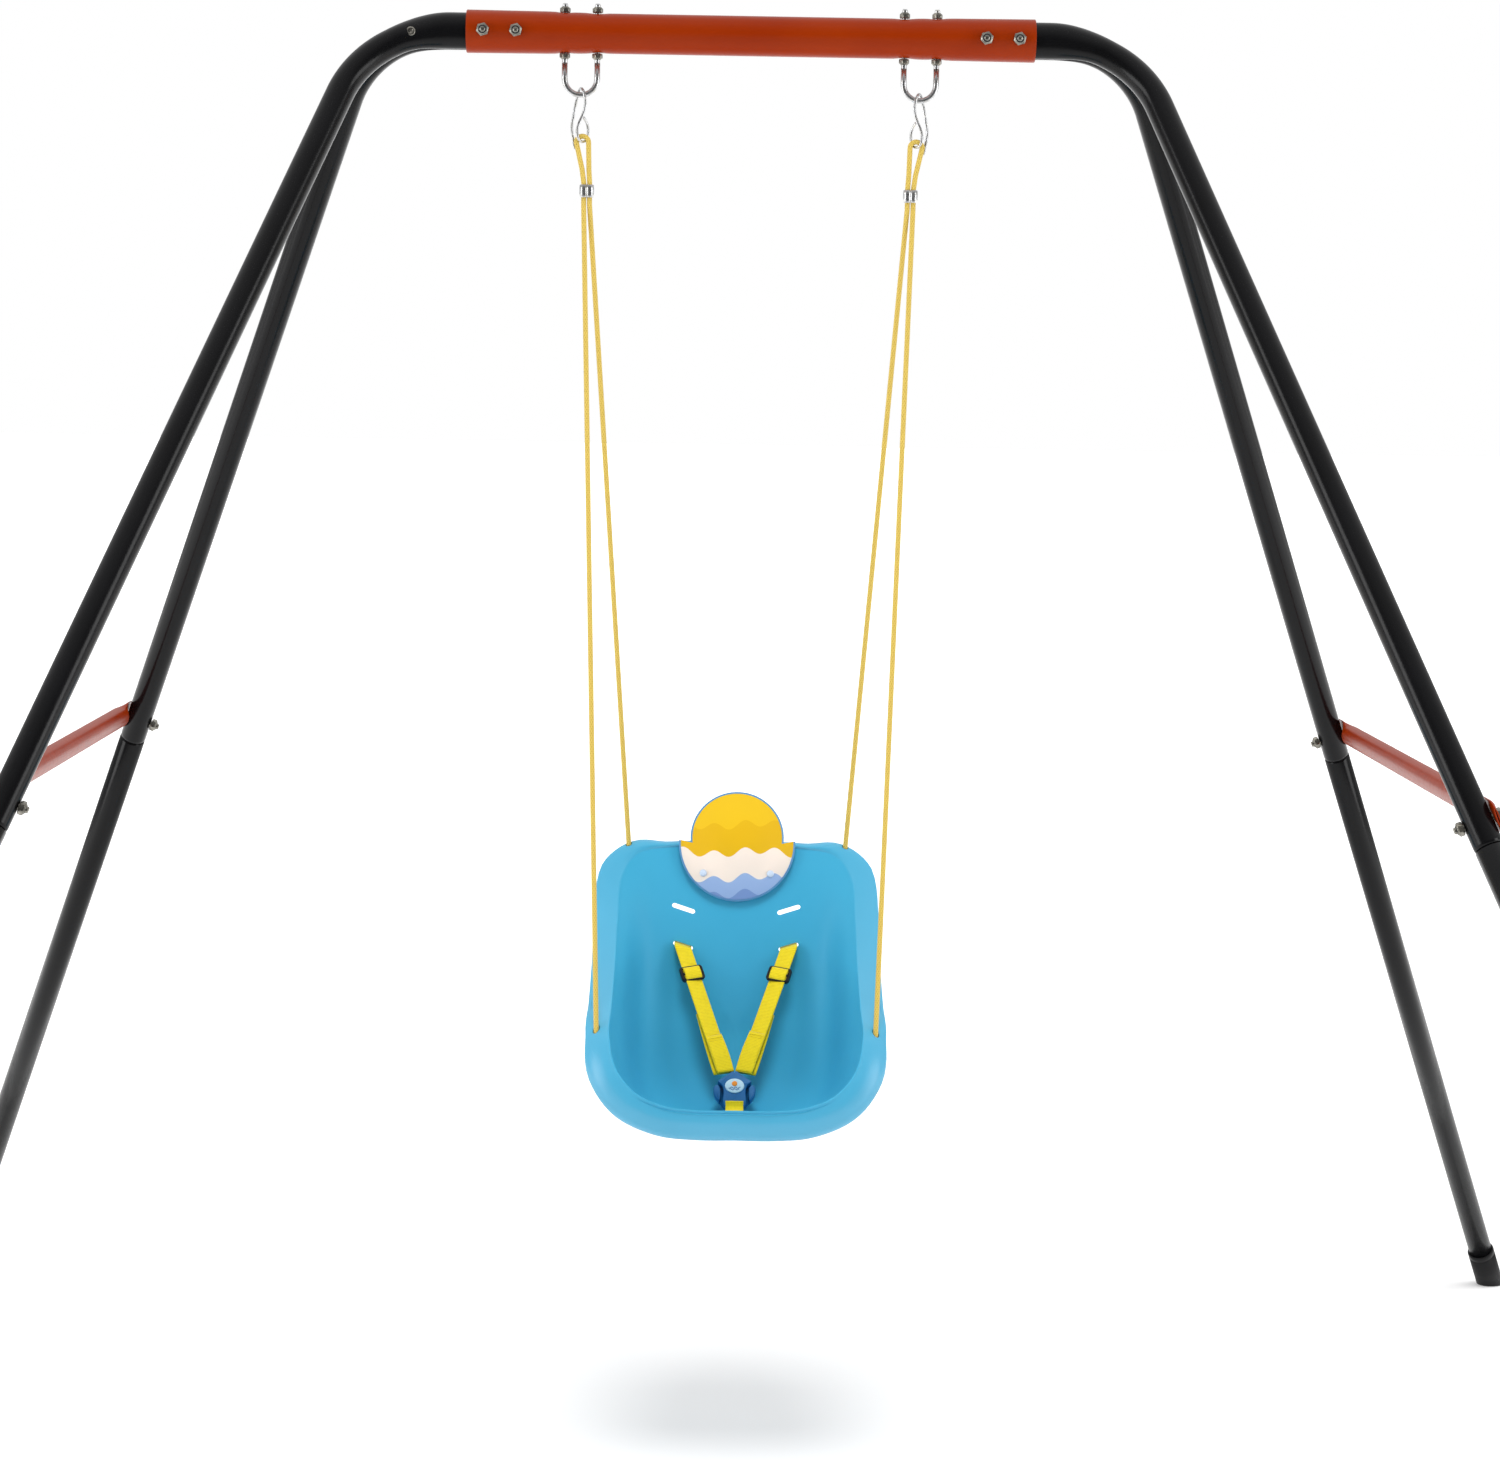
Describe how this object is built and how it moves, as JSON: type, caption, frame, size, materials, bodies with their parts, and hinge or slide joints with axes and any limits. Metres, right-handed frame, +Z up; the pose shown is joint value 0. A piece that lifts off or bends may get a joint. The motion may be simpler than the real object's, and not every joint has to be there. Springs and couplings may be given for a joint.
{
  "type": "swing set",
  "caption": "Toddler swing set: bent tube legs in an A at each end, a crossbar, and a moulded bucket seat with a harness, hung by cords from U-bolts.",
  "frame": {"origin": "on the floor, midway between the feet", "axes": "+Z up, +X along the crossbar, the child faces -Y"},
  "size_m": [1.6616, 1.348, 1.265],
  "materials": {
    "orange_paint": "gloss",
    "black_paint": "gloss",
    "zinc": "satin",
    "cap_plastic": "matte",
    "seat_plastic": "satin",
    "badge_plastic": "gloss",
    "rivet_plastic": "gloss",
    "buckle_plastic": "satin",
    "adjuster_plastic": "satin",
    "rope": "matte",
    "webbing": "matte"
  },
  "bodies": {
    "frame": {"crossbar": "orange_paint", "upper_leg_left_front": "black_paint", "lower_leg_left_front": "black_paint", "foot_cap_left_front": "cap_plastic", "brace_bolt_left_front": "zinc", "brace_nut_left_front": "zinc", "upper_leg_left_rear": "black_paint", "lower_leg_left_rear": "black_paint", "foot_cap_left_rear": "cap_plastic", "brace_bolt_left_rear": "zinc", "brace_nut_left_rear": "zinc", "upper_leg_right_front": "black_paint", "lower_leg_right_front": "black_paint", "foot_cap_right_front": "cap_plastic", "brace_bolt_right_front": "zinc", "brace_nut_right_front": "zinc", "upper_leg_right_rear": "black_paint", "lower_leg_right_rear": "black_paint", "foot_cap_right_rear": "cap_plastic", "brace_bolt_right_rear": "zinc", "brace_nut_right_rear": "zinc", "brace_left": "orange_paint", "crossbar_bolt_left_inner": "zinc", "crossbar_nut_left_inner": "zinc", "u_bolt_top_nut_left_inner": "zinc", "u_bolt_lower_nut_left_inner": "zinc", "crossbar_bolt_left_outer": "zinc", "crossbar_nut_left_outer": "zinc", "u_bolt_top_nut_left_outer": "zinc", "u_bolt_lower_nut_left_outer": "zinc", "u_bolt_left": "zinc", "brace_right": "orange_paint", "crossbar_bolt_right_inner": "zinc", "crossbar_nut_right_inner": "zinc", "u_bolt_top_nut_right_inner": "zinc", "u_bolt_lower_nut_right_inner": "zinc", "crossbar_bolt_right_outer": "zinc", "crossbar_nut_right_outer": "zinc", "u_bolt_top_nut_right_outer": "zinc", "u_bolt_lower_nut_right_outer": "zinc", "u_bolt_right": "zinc"},
    "swing": {"hook_left": "zinc", "rope_left": "rope", "rope_ferrule_left": "zinc", "badge_rivet_left": "rivet_plastic", "shoulder_strap_left": "webbing", "hook_right": "zinc", "rope_right": "rope", "rope_ferrule_right": "zinc", "badge_rivet_right": "rivet_plastic", "shoulder_strap_right": "webbing", "seat_shell": "seat_plastic", "seat_badge": "badge_plastic", "buckle_body": "buckle_plastic", "buckle_medallion": "badge_plastic", "crotch_strap": "webbing"},
    "adjuster_left": {"strap_adjuster_left": "adjuster_plastic"},
    "adjuster_right": {"strap_adjuster_right": "adjuster_plastic"},
    "tab_left": {"buckle_tab_left": "buckle_plastic"},
    "tab_right": {"buckle_tab_right": "buckle_plastic"}
  },
  "joints": [
    {"name": "swing_hinge", "type": "hinge", "parent": "frame", "child": "swing", "pos_m": [0, 0, 1.188], "axis": [1, 0, 0], "range_deg": [-45, 45]},
    {"name": "adjuster_slide_left", "type": "slide", "parent": "swing", "child": "adjuster_left", "axis": [0.3018, -0.5658, -0.7673], "range_m": [-0.01, 0.05]},
    {"name": "adjuster_slide_right", "type": "slide", "parent": "swing", "child": "adjuster_right", "axis": [-0.3018, -0.5658, -0.7673], "range_m": [-0.01, 0.05]},
    {"name": "tab_press_left", "type": "slide", "parent": "swing", "child": "tab_left", "axis": [1, 0, 0], "range_m": [0, 0.002], "stiffness_N_per_m": 600},
    {"name": "tab_press_right", "type": "slide", "parent": "swing", "child": "tab_right", "axis": [-1, 0, 0], "range_m": [0, 0.002], "stiffness_N_per_m": 600}
  ]
}
